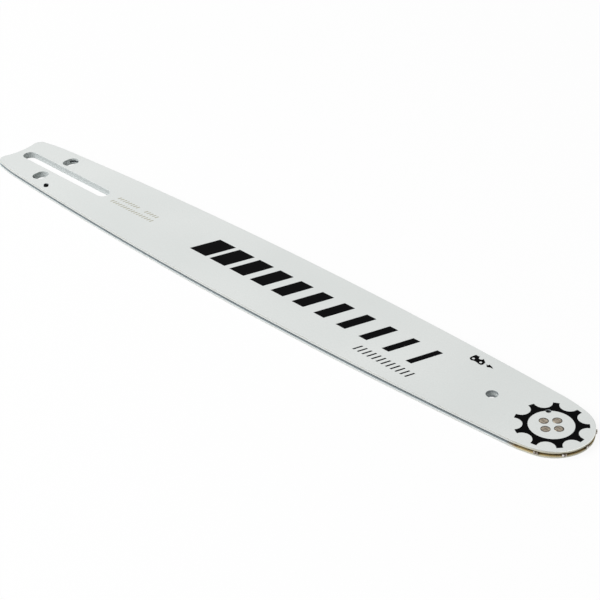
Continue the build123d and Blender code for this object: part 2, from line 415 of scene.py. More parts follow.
def rolled_steel(add, place, finish):
    """Bare rolled steel between the plates: dull blue-grey at the groove's mouth and dark with oil inside.

    The hardened nose has straw and brown temper colours. The steel is darkest inside the nose, with grease
    from its bearing, and round the oil holes.
    """
    mottle_size = 5 * MM
    brown_heat = 0.6
    dry_share = 0.3
    mottle = add("ShaderNodeTexNoise", {"Vector": place, "Scale": 1 / mottle_size, "Detail": 4.0})
    heat = nose_heat(add, place, mottle)
    temper = add("ShaderNodeValToRGB", {"Fac": heat})
    ramp = temper.color_ramp.elements
    ramp[0].color = finish.rolled
    ramp[1].color = finish.straw
    ramp.new(brown_heat).color = finish.temper_brown
    depth = add("ShaderNodeAttribute", attribute_name=DEEP).outputs["Fac"]
    inside = add("ShaderNodeMapRange", {"Value": depth, "From Min": 0.4})
    grease = add("ShaderNodeMapRange", {"Value": heat, "To Min": dry_share, "To Max": 1.0})
    oil = add("ShaderNodeMath", {0: grease, 1: oil_pool(add, place)}, operation="MAXIMUM")
    wet = add("ShaderNodeMath", {0: inside, 1: oil}, operation="MULTIPLY")
    tint = add("ShaderNodeMix", {"Factor": wet, "A": temper, "B": finish.groove_oil}, **STAINED)
    return {"Base Color": tint, "Metallic": 0.25, "Roughness": 0.5}


def punched_steel(add, place, finish):
    """Sheared steel of the core and the punched holes: dull grey, with faint strokes down the wall.

    The walls that face the nose keep a patchy film of old oil, and the steel is dark with oil round the oil
    holes.
    """
    stroke_width = 0.4 * MM
    stroke_length = 6 * MM
    patch_size = 3 * MM
    stretch = (1 / stroke_width, 1 / stroke_width, 1 / stroke_length)
    spread = add("ShaderNodeMapping", {"Vector": place, "Scale": stretch})
    strokes = add("ShaderNodeTexNoise", {"Vector": spread, "Scale": 1.0, "Detail": 2.0})
    tint = add(
        "ShaderNodeMix", {"Factor": strokes, "A": finish.punched, "B": finish.punch_stroke}, **LAID_OVER,
    )
    facing = add("ShaderNodeSeparateXYZ", {"Vector": place.node.outputs["Normal"]}).outputs["X"]
    sheltered = add("ShaderNodeMapRange", {"Value": facing, "From Min": 0.6, "From Max": 1.0})
    patch = add("ShaderNodeTexNoise", {"Vector": place, "Scale": 1 / patch_size, "Detail": 1.0})
    film = add("ShaderNodeMapRange", {"Value": patch, "From Min": 0.2, "From Max": 0.7})
    share = add("ShaderNodeMath", {0: sheltered, 1: film}, operation="MULTIPLY")
    oiled = add("ShaderNodeMix", {"Factor": share, "A": tint, "B": finish.old_oil}, **STAINED)
    pool = oil_pool(add, place)
    soaked = add("ShaderNodeMix", {"Factor": pool, "A": oiled, "B": finish.groove_oil}, **STAINED)
    return {"Base Color": soaked, "Metallic": 0.2, "Roughness": 0.55}


def bored_steel(add, place, finish):
    """Drilled steel with a thin film of oil: darker than the punched walls, with faint rings from the drill.

    The real rings are finer than a pixel, so they are drawn 0.5 mm apart.
    """
    ring_size = 0.5 * MM
    ring_length = 9 * MM
    stretch = (1 / ring_length, 1 / ring_length, 1 / ring_size)
    spread = add("ShaderNodeMapping", {"Vector": place, "Scale": stretch})
    rings = add("ShaderNodeTexNoise", {"Vector": spread, "Scale": 1.0, "Detail": 1.0})
    tint = add("ShaderNodeMix", {"Factor": rings, "A": finish.bored, "B": finish.bored_line}, **LAID_OVER)
    return {"Base Color": tint, "Metallic": 0.2, "Roughness": 0.5}


def oiled_steel(add, place, finish):
    """Drilled steel wet with chain oil: nearly black, with a soft shine that comes and goes."""
    smear_size = 1 * MM
    smear = add("ShaderNodeTexNoise", {"Vector": place, "Scale": 1 / smear_size, "Detail": 2.0})
    rough = add("ShaderNodeMapRange", {"Value": smear, "To Min": 0.25, "To Max": 0.5})
    return {"Base Color": finish.oiled, "Roughness": rough}


def greased_steel(add, place, finish):
    """Hardened sprocket steel under a film of grease: brown, with tips polished in patches by the chain."""
    mottle_size = 1.2 * MM
    polish_start = TIP_RADIUS - 1.3 * MM
    polish_full = TIP_RADIUS - 0.4 * MM
    mottle = add("ShaderNodeTexNoise", {"Vector": place, "Scale": 1 / mottle_size, "Detail": 3.0})
    reach = add("ShaderNodeVectorMath", {0: place, 1: AXLE}, operation="DISTANCE")
    polish = add("ShaderNodeMapRange", {"Value": reach, "From Min": polish_start, "From Max": polish_full})
    patch = add("ShaderNodeMapRange", {"Value": mottle, "From Min": 0.4, "From Max": 0.64})
    worn = add("ShaderNodeMath", {0: polish, 1: patch}, operation="MULTIPLY")
    tint = add("ShaderNodeMix", {"Factor": worn, "A": finish.sprocket, "B": finish.tooth_tip}, **LAID_OVER)
    film = add("ShaderNodeMapRange", {"Value": mottle, "To Min": 0.22, "To Max": 0.5})
    return {"Base Color": tint, "Metallic": 1.0, "Roughness": film}


def hardened_steel(add, place, finish):
    """Ground and hardened bearing steel: bright and smooth, with a trace of grease."""
    smear_size = 2 * MM
    smear = add("ShaderNodeTexNoise", {"Vector": place, "Scale": 1 / smear_size, "Detail": 2.0})
    rough = add("ShaderNodeMapRange", {"Value": smear, "To Min": 0.15, "To Max": 0.4})
    return {"Base Color": finish.bearing, "Metallic": 1.0, "Roughness": rough}


def peened_steel(add, place, finish):
    """Soft rivet steel spread by a riveting tool and browned: dull and scuffed in short strokes.

    The real strokes are finer than a pixel, so they are drawn 0.7 mm wide. The rims are dark with oily dirt
    and worn bare in patches.
    """
    stroke_length = 2 * MM
    stroke_width = 0.7 * MM
    stroke_depth = 0.05 * MM
    patch_size = 1.2 * MM
    stretch = (1 / stroke_length, 1 / stroke_width, 1 / stroke_length)
    spread = add("ShaderNodeMapping", {"Vector": place, "Scale": stretch})
    strokes = add("ShaderNodeTexNoise", {"Vector": spread, "Scale": 1.0, "Detail": 3.0})
    share = add("ShaderNodeMapRange", {"Value": strokes, "From Min": 0.38, "From Max": 0.66})
    tint = add("ShaderNodeMix", {"Factor": share, "A": finish.rivet, "B": finish.rivet_scuff}, **LAID_OVER)
    patch = add("ShaderNodeTexNoise", {"Vector": place, "Scale": 1 / patch_size, "Detail": 1.0})
    worn = add("ShaderNodeMapRange", {"Value": patch, "From Min": 0.56, "From Max": 0.66})
    edge = add(
        "ShaderNodeMix", {"Factor": worn, "A": finish.rivet_dirt, "B": finish.rivet_worn}, **LAID_OVER,
    )
    rim = add("ShaderNodeAttribute", attribute_name=RIM).outputs["Fac"]
    dirt = add("ShaderNodeMapRange", {"Value": rim, "From Min": 0.05, "From Max": 0.3})
    dirty = add("ShaderNodeMix", {"Factor": dirt, "A": tint, "B": edge}, **LAID_OVER)
    bump = add("ShaderNodeBump", {"Height": strokes, "Strength": 0.5, "Distance": stroke_depth})
    return {"Base Color": dirty, "Metallic": 0.5, "Roughness": 0.3, "Normal": bump}


def ink_film(add, place, tint, roughness):
    """The main shader's inputs for a thin, even, dull film, a little duller still where it dried thin."""
    patch_size = 6 * MM
    unevenness = 0.08
    smoothest, dullest = roughness - unevenness, roughness + unevenness
    patch = add("ShaderNodeTexNoise", {"Vector": place, "Scale": 1 / patch_size, "Detail": 3.0})
    rough = add("ShaderNodeMapRange", {"Value": patch, "To Min": smoothest, "To Max": dullest})
    return {"Base Color": tint, "Roughness": rough, "Specular IOR Level": 0.01}


def black_ink(add, place, finish):
    """Screen-printed ink: black, even and fairly dull."""
    return ink_film(add, place, finish.ink, roughness=0.4)


def etched_grey(add, place, finish):
    """Enamel dulled by an etching fluid: a faint warm grey, duller than the ink."""
    return ink_film(add, place, finish.etch, roughness=0.6)


def seen_ray(add):
    """A node that gives 1 for what the camera, a reflection or glass sees, and 0 for light on matt faces."""
    path = add("ShaderNodeLightPath").outputs
    seen = add("ShaderNodeMath", {0: path["Is Camera Ray"], 1: path["Is Glossy Ray"]}, operation="MAXIMUM")
    return add("ShaderNodeMath", {0: seen, 1: path["Is Transmission Ray"]}, operation="MAXIMUM")


def white_floor(share):
    """Matt white floor that is mostly plain white as seen and keeps the rest for the bar's shadow."""
    material = bpy.data.materials.new("white_floor")
    add = empty_tree(material)
    matt = add("ShaderNodeBsdfDiffuse", {"Color": WHITE})
    plain = add("ShaderNodeEmission", {"Color": WHITE, "Strength": 1.0})
    white = add("ShaderNodeMath", {0: seen_ray(add), 1: share}, operation="MULTIPLY")
    both = add("ShaderNodeMixShader", {0: white, 1: matt, 2: plain})
    add("ShaderNodeOutputMaterial", {"Surface": both})
    return material


def white_world(strength):
    """Even white surroundings: plain white as seen, and soft light of the given strength."""
    world = bpy.data.worlds.new("white_world")
    add = empty_tree(world)
    level = add("ShaderNodeMapRange", {"Value": seen_ray(add), "To Min": strength, "To Max": 1.0})
    glow = add("ShaderNodeBackground", {"Color": WHITE, "Strength": level})
    add("ShaderNodeOutputWorld", {"Surface": glow})
    return world


# A plate's finishes, and the place of each in its list of materials
PLATE_FINISHES = (
    satin_enamel, rubbed_enamel, ground_steel, rolled_steel, punched_steel, bored_steel, oiled_steel,
)
PAINTED, RUBBED, RAIL, INNER, PUNCHED, BORED, OILED = range(len(PLATE_FINISHES))


def ray(turn):
    """The plan direction at an angle from the bar's length."""
    return Vector((math.cos(turn), math.sin(turn)))


def mount_place(name):
    """The place of one of the frame's mounts, as a plan point from the nose axle."""
    x, y = MOUNTS[name]["pos_m"][:2]
    return Vector((x - AXLE.x, y - AXLE.y))


def arc(centre, start, end, hollow=False):
    """Points with outward normals along the shorter arc from start to end, without its last point."""
    radius = (start - centre).length
    first = math.atan2(start.y - centre.y, start.x - centre.x)
    last = math.atan2(end.y - centre.y, end.x - centre.x)
    sweep = math.remainder(last - first, 2 * math.pi)
    steps = math.ceil(abs(sweep) / (2 * math.acos(1 - CHORD_ERROR / radius)))
    line = []
    for step in range(steps):
        outward = ray(first + sweep * step / steps)
        line.append((centre + outward * radius, -outward if hollow else outward))
    return line


def circles_meet(centre_a, radius_a, centre_b, radius_b, near):
    """The point where two circles cross, the one closer to a given point."""
    apart = centre_b - centre_a
    along = (radius_a**2 - radius_b**2 + apart.length_squared) / (2 * apart.length)
    aside = math.sqrt(radius_a**2 - along**2)
    ahead = apart.normalized()
    middle = centre_a + ahead * along
    across = Vector((-ahead.y, ahead.x)) * aside
    return min((middle + across, middle - across), key=lambda point: (point - near).length)


def bar_line(bar):
    """The side plates' outline in plan, as points with outward normals, from the nose's tip round by +Y."""
    nose_radius = TIP_RADIUS - bar.tooth_overhang
    rise = HALF_WIDTH - nose_radius - bar.nose_flare
    belly_radius = (WIDEST_SETBACK**2 + rise**2) / (2 * rise)
    nose = Vector((0, 0))
    belly = Vector((-WIDEST_SETBACK, HALF_WIDTH - belly_radius))
    behind_nose = Vector((-bar.cheek_radius, 0))
    cheek = circles_meet(
        nose, bar.cheek_radius - nose_radius, belly, belly_radius - bar.cheek_radius, behind_nose,
    )
    cheek_front = nose - (cheek - nose).normalized() * nose_radius
    cheek_back = belly + (cheek - belly).normalized() * belly_radius

    # The shoulder arc leaves the belly at a tangent and passes through the tail's unrounded corner
    corner = Vector((-bar.tail_setback - bar.tail_hollow, bar.tail_width / 2))
    shoulder_x = corner.x + bar.shoulder_length
    shoulder_y = belly.y + math.sqrt(belly_radius**2 - (shoulder_x - belly.x) ** 2)
    shoulder_start = Vector((shoulder_x, shoulder_y))
    outward = (shoulder_start - belly).normalized()
    to_corner = corner - shoulder_start
    shoulder_radius = -to_corner.length_squared / (2 * to_corner.dot(outward))
    shoulder = shoulder_start - outward * shoulder_radius

    # The tail's end is a hollow arc, and a small arc rounds the corner between the two
    hollow_radius = ((bar.tail_width / 2) ** 2 + bar.tail_hollow**2) / (2 * bar.tail_hollow)
    hollow = Vector((-bar.tail_setback - hollow_radius, 0))
    rounding = circles_meet(
        shoulder, shoulder_radius - bar.tail_corner, hollow, hollow_radius + bar.tail_corner, corner,
    )
    rounding_start = shoulder + (rounding - shoulder).normalized() * shoulder_radius
    rounding_end = hollow + (rounding - hollow).normalized() * hollow_radius

    tail_middle = Vector((-bar.tail_setback, 0))
    half = (
        arc(nose, Vector((nose_radius, 0)), cheek_front)
        + arc(cheek, cheek_front, cheek_back)
        + arc(belly, cheek_back, shoulder_start)
        + arc(shoulder, shoulder_start, rounding_start)
        + arc(rounding, rounding_start, rounding_end)
        + arc(hollow, rounding_end, tail_middle, hollow=True)
    )
    flip = Matrix(((1, 0), (0, -1)))
    other_half = [(flip @ point, flip @ normal) for point, normal in reversed(half[1:])]
    return half + [(tail_middle, Vector((-1, 0)))] + other_half


def hole_line(centre, radius, reach=(0, 0)):
    """A round hole in plan, or a slot whose round ends stand a reach to either side of its centre."""
    reach = Vector(reach)
    ahead = reach.normalized() if reach.length else Vector((0, -1))
    side = Vector((-ahead.y, ahead.x))
    line = []
    for way in (1, -1):
        middle = centre + way * reach
        start, far, end = (middle + way * radius * edge for edge in (-side, ahead, side))
        line += arc(middle, start, far, hollow=True) + arc(middle, far, end, hollow=True)
    return line


def plate_loops(bar, nose):
    """The upper plate's outline and holes, each with its wall.

    A wall is a row of rings from the face down: how far each is set into the plate, its height, and the
    finish of the strip below it.
    """
    bevel = bar.rail_chamfer
    soft = bar.edge_break

    # The middle of a rounded edge lies this far from both of its sides
    soft_middle = 0.3 * soft

    rail_wall = [
        (bevel + soft, FACE_Z, PAINTED),
        (bevel - soft, FACE_Z - soft_middle, RUBBED),
        (soft_middle, FACE_Z - bevel + soft, RUBBED),
        (0, FACE_Z - bevel - soft, RAIL),
        (0, GROOVE_TOP_Z + soft, INNER),
        (soft, GROOVE_TOP_Z, INNER),
        (bar.mouth_depth, GROOVE_TOP_Z, INNER),
    ]
    upper_rings = [(soft, FACE_Z), (soft_middle, FACE_Z - soft_middle), (0, FACE_Z - soft)]
    lower_rings = [(0, GROOVE_TOP_Z + soft), (soft, GROOVE_TOP_Z)]
    punched_wall = [(*ring, PUNCHED) for ring in upper_rings + lower_rings]
    bored_wall = [(*ring, BORED) for ring in upper_rings + lower_rings]
    oil_line = (0, (FACE_Z + GROOVE_TOP_Z) / 2)
    greasy_wall = bored_wall[: len(upper_rings)] + [(*ring, OILED) for ring in [oil_line] + lower_rings]
    rivet_wall = [
        (nose.rivet_head - nose.rivet_shank, FACE_Z, OILED),
        (0, FACE_Z - nose.rivet_flare, OILED),
        (0, GROOVE_TOP_Z, OILED),
    ]
    loops = [(bar_line(bar), rail_wall)]

    slot_reach = Vector((bar.slot_length / 2 - bar.slot_width / 2, 0))
    loops.append((hole_line(mount_place("stud_slot"), bar.slot_width / 2, slot_reach), punched_wall))

    tensioner = MOUNTS["tensioner_holes"]["dims"]
    radius = tensioner["hole_r_mm"] * MM
    reach = Vector((0, tensioner["slot_length_mm"] / 2 * MM - radius))
    for side in (1, -1):
        place = mount_place("tensioner_holes") + Vector((0, side * tensioner["spacing_y_mm"] / 2 * MM))
        loops.append((hole_line(place, radius, reach), punched_wall))

    oil_reach = ray(bar.oil_turn) * (bar.oil_length - bar.oil_width) / 2
    loops.append((hole_line(mount_place("oil_hole_upper"), bar.oil_width / 2, oil_reach), greasy_wall))

    for name, wall in (("tip_guard_hole", bored_wall), ("grease_hole_upper", greasy_wall)):
        loops.append((hole_line(mount_place(name), MOUNTS[name]["dims"]["r_mm"] * MM), wall))

    for index in range(nose.rivet_count):
        place = ray(2 * math.pi * index / nose.rivet_count) * nose.rivet_circle
        loops.append((hole_line(place, nose.rivet_shank), rivet_wall))
    return loops


def plate_mesh(name, loops):
    """A plate between closed loops, the outline first: a cap on each face and a wall round each loop."""
    shape = bmesh.new()
    deep = shape.verts.layers.float.new(DEEP)
    tops, bottoms = [], []
    for line, wall in loops:
        rings = []
        for inset, height, _ in wall:
            flat = [point - normal * inset for point, normal in line]
            rings.append([shape.verts.new((AXLE.x + x, AXLE.y + y, height)) for x, y in flat])
        for upper, lower, (_, _, finish) in zip(rings, rings[1:], wall):
            for i in range(len(line)):
                strip = shape.faces.new((lower[i - 1], lower[i], upper[i], upper[i - 1]))
                strip.material_index = finish
        tops.append(rings[0])
        bottoms.append(rings[-1])
    for ring in bottoms:
        for vertex in ring:
            vertex[deep] = 1.0
    for rings, finish in ((tops, PAINTED), (bottoms, INNER)):
        corners = [vertex for ring in rings for vertex in ring]
        for triangle in tessellate_polygon([[vertex.co for vertex in ring] for ring in rings]):
            shape.faces.new([corners[i] for i in triangle]).material_index = finish
    bmesh.ops.recalc_face_normals(shape, faces=shape.faces)
    mesh = bpy.data.meshes.new(name)
    shape.to_mesh(mesh)
    shape.free()
    mesh.set_sharp_from_angle(angle=SMOOTH_ANGLE)
    for face in mesh.polygons:
        face.use_smooth = abs(face.normal.z) < FLAT
    return mesh


def show(name, data):
    """Put a mesh, a curve, a camera or a lamp into the scene."""
    thing = bpy.data.objects.new(name, data)
    bpy.context.scene.collection.objects.link(thing)
    return thing


def plain_mesh(thing):
    """A plain mesh of what an object is once its nodes or its curves are worked out."""
    return bpy.data.meshes.new_from_object(thing.evaluated_get(bpy.context.evaluated_depsgraph_get()))


def refinish(name, recipe, finish):
    """Give one of the frame's nodes a new finish."""
    node = frame["nodes"][name]
    node.data.materials.clear()
    node.data.materials.append(finished(recipe, finish))
    return node


def shape_tree(recipe, sizes):
    """The geometry tree of a shape, made on first use and named for its recipe.

    It has a named input for each size. A recipe adds the nodes that make the shape, and gives the last one.
    """
    tree = bpy.data.node_groups.get(recipe.__name__)
    if not tree:
        tree = bpy.data.node_groups.new(recipe.__name__, "GeometryNodeTree")
        for name, value in sizes.items():
            kind = "NodeSocket" + SOCKETS[type(value)]
            tree.interface.new_socket(name, in_out="INPUT", socket_type=kind)
        tree.interface.new_socket("Geometry", in_out="OUTPUT", socket_type="NodeSocketGeometry")
        add = partial(add_node, tree)
        size = add("NodeGroupInput").outputs
        real = add("GeometryNodeRealizeInstances", {"Geometry": recipe(add, size)})
        done = add("GeometryNodeSetMaterial", {"Geometry": real, "Material": size["Material"]})
        add("NodeGroupOutput", {"Geometry": done})
    return tree


def grow(name, recipe, sizes):
    """Run a shape's geometry tree with these sizes and keep the result as a plain mesh."""
    tree = shape_tree(recipe, sizes)
    piece = show(name, bpy.data.meshes.new(name))
    modifier = piece.modifiers.new(tree.name, "NODES")
    modifier.node_group = tree
    for item in tree.interface.items_tree:
        if item.in_out == "INPUT":
            modifier[item.identifier] = sizes[item.name]
    mesh = plain_mesh(piece)
    if not mesh.polygons:
        raise RuntimeError(f"{tree.name} made no faces for {name}")
    piece.modifiers.remove(modifier)
    mesh.name = name
    mesh.shade_smooth()
    mesh.set_sharp_from_angle(angle=SMOOTH_ANGLE)
    piece.data = mesh
    return piece


def scalloped_star(add, size):
    """A star: a disc less a ring of round gaps and a bore, with a tooth straight ahead."""
    facets = 128
    through = add("ShaderNodeMath", {0: size["Thickness"], 1: CUTTER_DEPTH}, operation="MULTIPLY")
    disc, gap, bore = (
        add("GeometryNodeMeshCylinder", {"Vertices": vertices, "Radius": size[radius], "Depth": depth})
        for vertices, radius, depth in (
            (2 * facets, "Tip Radius", size["Thickness"]),
            (facets, "Gap Radius", through),
            (facets, "Bore Radius", through),
        )
    )
    ring = add("GeometryNodeMeshCircle", {"Vertices": size["Teeth"], "Radius": size["Gap Distance"]})
    half_pitch = add("ShaderNodeMath", {0: math.pi, 1: size["Teeth"]}, operation="DIVIDE")
    turn = add("ShaderNodeCombineXYZ", {"Z": half_pitch})
    turned = add("GeometryNodeTransform", {"Geometry": ring, "Rotation": turn})
    gaps = add("GeometryNodeInstanceOnPoints", {"Points": turned, "Instance": gap})
    star = add("GeometryNodeMeshBoolean", {"Mesh 1": disc, "Mesh 2": [gaps, bore]}, **CUT)
    return add("GeometryNodeTransform", {"Geometry": star, "Translation": size["Middle"]})


def pierced_star(add, size):
    """A scalloped star with one more round hole through it."""
    facets = 64
    star = scalloped_star(add, size)
    through = add("ShaderNodeMath", {0: size["Thickness"], 1: CUTTER_DEPTH}, operation="MULTIPLY")
    drill = add("GeometryNodeMeshCylinder", {
        "Vertices": facets, "Radius": size["Hole Radius"], "Depth": through,
    })
    over_hole = add("GeometryNodeTransform", {"Geometry": drill, "Translation": size["Hole Middle"]})
    return add("GeometryNodeMeshBoolean", {"Mesh 1": star, "Mesh 2": over_hole}, **CUT)


def flush_rivets(add, size):
    """Rivets on a circle: each a cylinder that flares at both ends, with flat heads whose rims round off."""
    facets = 64
    shank_rings = 8
    head_rings = 24
    rim_power = 2.0
    blank = add("GeometryNodeMeshCylinder", {
        "Vertices": facets, "Side Segments": shank_rings, "Fill Segments": head_rings,
        "Radius": 1.0, "Depth": size["Height"],
    }, fill_type="TRIANGLE_FAN")
    part = add("ShaderNodeSeparateXYZ", {"Vector": add("GeometryNodeInputPosition")}).outputs
    from_middle = add("ShaderNodeMath", {0: part["Z"]}, operation="ABSOLUTE")
    half = add("ShaderNodeMath", {0: size["Height"], 1: 0.5}, operation="MULTIPLY")
    flare_start = add("ShaderNodeMath", {0: half, 1: size["Flare Height"]}, operation="SUBTRACT")
    girth = add("ShaderNodeMapRange", {
        "Value": from_middle, "From Min": flare_start, "From Max": half,
        "To Min": size["Shank Radius"], "To Max": size["Head Radius"],
    })
    wide = {axis: add("ShaderNodeMath", {0: part[axis], 1: girth}, operation="MULTIPLY") for axis in "XY"}
    from_axis = add("ShaderNodeVectorMath", {0: add("ShaderNodeCombineXYZ", wide)}, operation="LENGTH")
    rim_start = add("ShaderNodeMath", {0: size["Head Radius"], 1: size["Rim Width"]}, operation="SUBTRACT")
    over_rim = add("ShaderNodeMapRange", {
        "Value": from_axis, "From Min": rim_start, "From Max": size["Head Radius"],
    })
    fall = add("ShaderNodeMath", {0: over_rim, 1: rim_power}, operation="POWER")
    sink = add("ShaderNodeMath", {0: fall, 1: size["Rim Drop"]}, operation="MULTIPLY")
    sunk = add("ShaderNodeMath", {0: from_middle, 1: sink}, operation="SUBTRACT")
    side = add("ShaderNodeMath", {0: part["Z"]}, operation="SIGN")
    height = add("ShaderNodeMath", {0: sunk, 1: side}, operation="MULTIPLY")
    formed = add("ShaderNodeCombineXYZ", {**wide, "Z": height})
    marked = add("GeometryNodeStoreNamedAttribute", {"Geometry": blank, "Name": RIM, "Value": fall})
    rivet = add("GeometryNodeSetPosition", {"Geometry": marked, "Position": formed})
    ring = add("GeometryNodeMeshCircle", {"Vertices": size["Count"], "Radius": size["Circle Radius"]})
    placed = add("GeometryNodeTransform", {"Geometry": ring, "Translation": size["Middle"]})
    return add("GeometryNodeInstanceOnPoints", {"Points": placed, "Instance": rivet})


def slanted_bars(add, size):
    """A row of flat bars along X whose widths change evenly, all leaning the same way."""
    step = add("ShaderNodeCombineXYZ", {"X": size["Pitch"]})
    line = add("GeometryNodeMeshLine", {"Count": size["Count"], "Offset": step}, mode="OFFSET")
    last = add("ShaderNodeMath", {0: size["Count"], 1: 1.0}, operation="SUBTRACT")
    width = add("ShaderNodeMapRange", {
        "Value": add("GeometryNodeInputIndex"), "From Min": 0.0, "From Max": last,
        "To Min": size["First Width"], "To Max": size["Last Width"],
    })
    bar_size = add("ShaderNodeCombineXYZ", {"X": width, "Y": size["Height"], "Z": size["Thickness"]})
    block = add("GeometryNodeMeshCube", {"Size": (1.0, 1.0, 1.0)})
    bars = add("GeometryNodeInstanceOnPoints", {"Points": line, "Instance": block, "Scale": bar_size})

    # The lean moves single points, so the bars are made real before it
    real = add("GeometryNodeRealizeInstances", {"Geometry": bars})
    across = add("ShaderNodeSeparateXYZ", {"Vector": add("GeometryNodeInputPosition")}).outputs["Y"]
    lean = add("ShaderNodeMath", {0: across, 1: size["Slant"]}, operation="MULTIPLY")
    shift = add("ShaderNodeCombineXYZ", {"X": lean})
    leaning = add("GeometryNodeSetPosition", {"Geometry": real, "Offset": shift})
    return add("GeometryNodeTransform", {"Geometry": leaning, "Translation": size["Start"]})


def ink_middle(x, y):
    """A plan point from the nose axle, at the height where an ink film is half sunk into the face."""
    return Vector((AXLE.x + x, AXLE.y + y, FACE_Z))


def bar_rows(name, rows, **shared):
    """Rows of slanted bars as one piece."""
    shape = bmesh.new()
    for index, row in enumerate(rows):
        piece = grow(f"{name}_{index}", slanted_bars, {**shared, **row})
        shape.from_mesh(piece.data)
        bpy.data.objects.remove(piece)
    mesh = bpy.data.meshes.new(name)
    mesh.materials.append(shared["Material"])
    shape.to_mesh(mesh)
    shape.free()
    return show(name, mesh)


class GUIDEBAR_OT_side_plates(bpy.types.Operator):
    """Make both side plates, with painted faces, ground rails and bare inner faces"""

    bl_idname = "guide_bar.side_plates"
    bl_label = "Side Plates"

    def execute(self, context):
        settings = context.scene.guide_bar
        turned_over = Matrix.Translation((0, 0, FACE_Z)) @ Matrix.Rotation(math.pi, 4, "X")
        for side, turn in (("upper", Matrix.Identity(4)), ("lower", turned_over)):
            mesh = plate_mesh(f"{side}_plate", plate_loops(settings.outline, settings.nose))
            mesh.transform(turn)
            for recipe in PLATE_FINISHES:
                mesh.materials.append(finished(recipe, settings.finish))
            plate = show(f"{side}_plate", mesh)
            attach(plate, "bar")
            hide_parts(f"side_plate_{side}")
        return {"FINISHED"}


class GUIDEBAR_OT_core(bpy.types.Operator):
    """Finish the core plate that floors the chain's groove"""

    bl_idname = "guide_bar.core"
    bl_label = "Core Plate"

    def execute(self, context):
        core = refinish("core_plate", punched_steel, context.scene.guide_bar.finish)
        return {"FINISHED"}


class GUIDEBAR_OT_bearing(bpy.types.Operator):
    """Finish the race and the rollers inside the nose"""

    bl_idname = "guide_bar.bearing"
    bl_label = "Roller Bearing"

    def execute(self, context):
        for name in ["bearing_race", *ROLLERS]:
            node = refinish(name, hardened_steel, context.scene.guide_bar.finish)
        return {"FINISHED"}


class GUIDEBAR_OT_sprocket(bpy.types.Operator):
    """Make the nose sprocket with worn edges"""

    bl_idname = "guide_bar.sprocket"
    bl_label = "Nose Sprocket"

    def execute(self, context):
        settings = context.scene.guide_bar
        nose = settings.nose

        # A gullet is one arc, from a tooth tip's corner down to the root and up to the next tip's corner
        half_gap = math.pi / nose.tooth_count - math.asin(nose.tooth_tip_width / 2 / TIP_RADIUS)
        depth = TIP_RADIUS * math.cos(half_gap) - nose.tooth_root
        gap_radius = (depth**2 + (TIP_RADIUS * math.sin(half_gap)) ** 2) / (2 * depth)
        star = grow("sprocket", scalloped_star, {
            "Teeth": nose.tooth_count,
            "Tip Radius": TIP_RADIUS,
            "Gap Radius": gap_radius,
            "Gap Distance": nose.tooth_root + gap_radius,
            "Bore Radius": nose.sprocket_bore,
            "Thickness": SPROCKET_HIGH.z - SPROCKET_LOW.z,
            "Middle": AXLE,
            "Material": finished(greased_steel, settings.finish),
        })
        wear = star.modifiers.new("Worn edges", "BEVEL")
        wear.width = nose.sprocket_edge
        wear.segments = 2
        wear.limit_method = "ANGLE"
        wear.angle_limit = SMOOTH_ANGLE
        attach(star, "sprocket")
        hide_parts("nose_sprocket")
        return {"FINISHED"}


class GUIDEBAR_OT_rivets(bpy.types.Operator):
    """Make the flush rivets, with the rims that the riveting tool leaves"""

    bl_idname = "guide_bar.rivets"
    bl_label = "Nose Rivets"

    def execute(self, context):
        settings = context.scene.guide_bar
        nose = settings.nose

        # The foot of a rim lies below the face, where the countersink is narrower
        slope = (nose.rivet_head - nose.rivet_shank) / nose.rivet_flare
        rivets = grow("rivets", flush_rivets, {
            "Count": nose.rivet_count,
            "Circle Radius": nose.rivet_circle,
            "Shank Radius": nose.rivet_shank - nose.rivet_gap,
            "Head Radius": nose.rivet_head - nose.rivet_gap - nose.rivet_drop * slope,
            "Flare Height": nose.rivet_flare,
            "Rim Width": nose.rivet_rim,
            "Rim Drop": nose.rivet_drop,
            "Height": FACE_Z,
            "Middle": AXLE,
            "Material": finished(peened_steel, settings.finish),
        })
        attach(rivets, "bar")
        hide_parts("nose_rivets")
        return {"FINISHED"}


class GUIDEBAR_OT_star_print(bpy.types.Operator):
    """Print the black star round the rivets"""

    bl_idname = "guide_bar.star_print"
    bl_label = "Star Print"

    def execute(self, context):
        settings = context.scene.guide_bar
        sign = settings.signs
        grease_radius = MOUNTS["grease_hole_upper"]["dims"]["r_mm"] * MM
        piece = grow("star_print", pierced_star, {
            "Teeth": sign.star_teeth,
            "Tip Radius": sign.star_tip,
            "Gap Radius": sign.star_scallop,
            "Gap Distance": sign.star_scallop_distance,
            "Bore Radius": sign.star_bore,
            "Thickness": 2 * sign.film,
            "Middle": ink_middle(0, 0),
            "Hole Radius": grease_radius + settings.outline.edge_break,
            "Hole Middle": ink_middle(*mount_place("grease_hole_upper")),
            "Material": finished(black_ink, settings.finish),
        })
        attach(piece, "bar")
        return {"FINISHED"}


class GUIDEBAR_OT_band_print(bpy.types.Operator):
    """Print a band of slanted bars along the middle of the face, and a row of small ticks beside it"""

    bl_idname = "guide_bar.band_print"
    bl_label = "Band Print"

    def execute(self, context):
        settings = context.scene.guide_bar
        sign = settings.signs
        band = {
            "Count": sign.bar_count, "Pitch": sign.bar_pitch, "Height": sign.bar_height,
            "First Width": sign.bar_first, "Last Width": sign.bar_last,
            "Start": ink_middle(*sign.bar_start),
        }
        ticks = {
            "Count": sign.tick_count, "Pitch": sign.tick_pitch, "Height": sign.tick_height,
            "First Width": sign.tick_width, "Last Width": sign.tick_width,
            "Start": ink_middle(*sign.tick_start),
        }
        ink = finished(black_ink, settings.finish)
        rows = [band, ticks]
        piece = bar_rows("band_print", rows, Slant=sign.slant, Thickness=2 * sign.film, Material=ink)
        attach(piece, "bar")
        return {"FINISHED"}


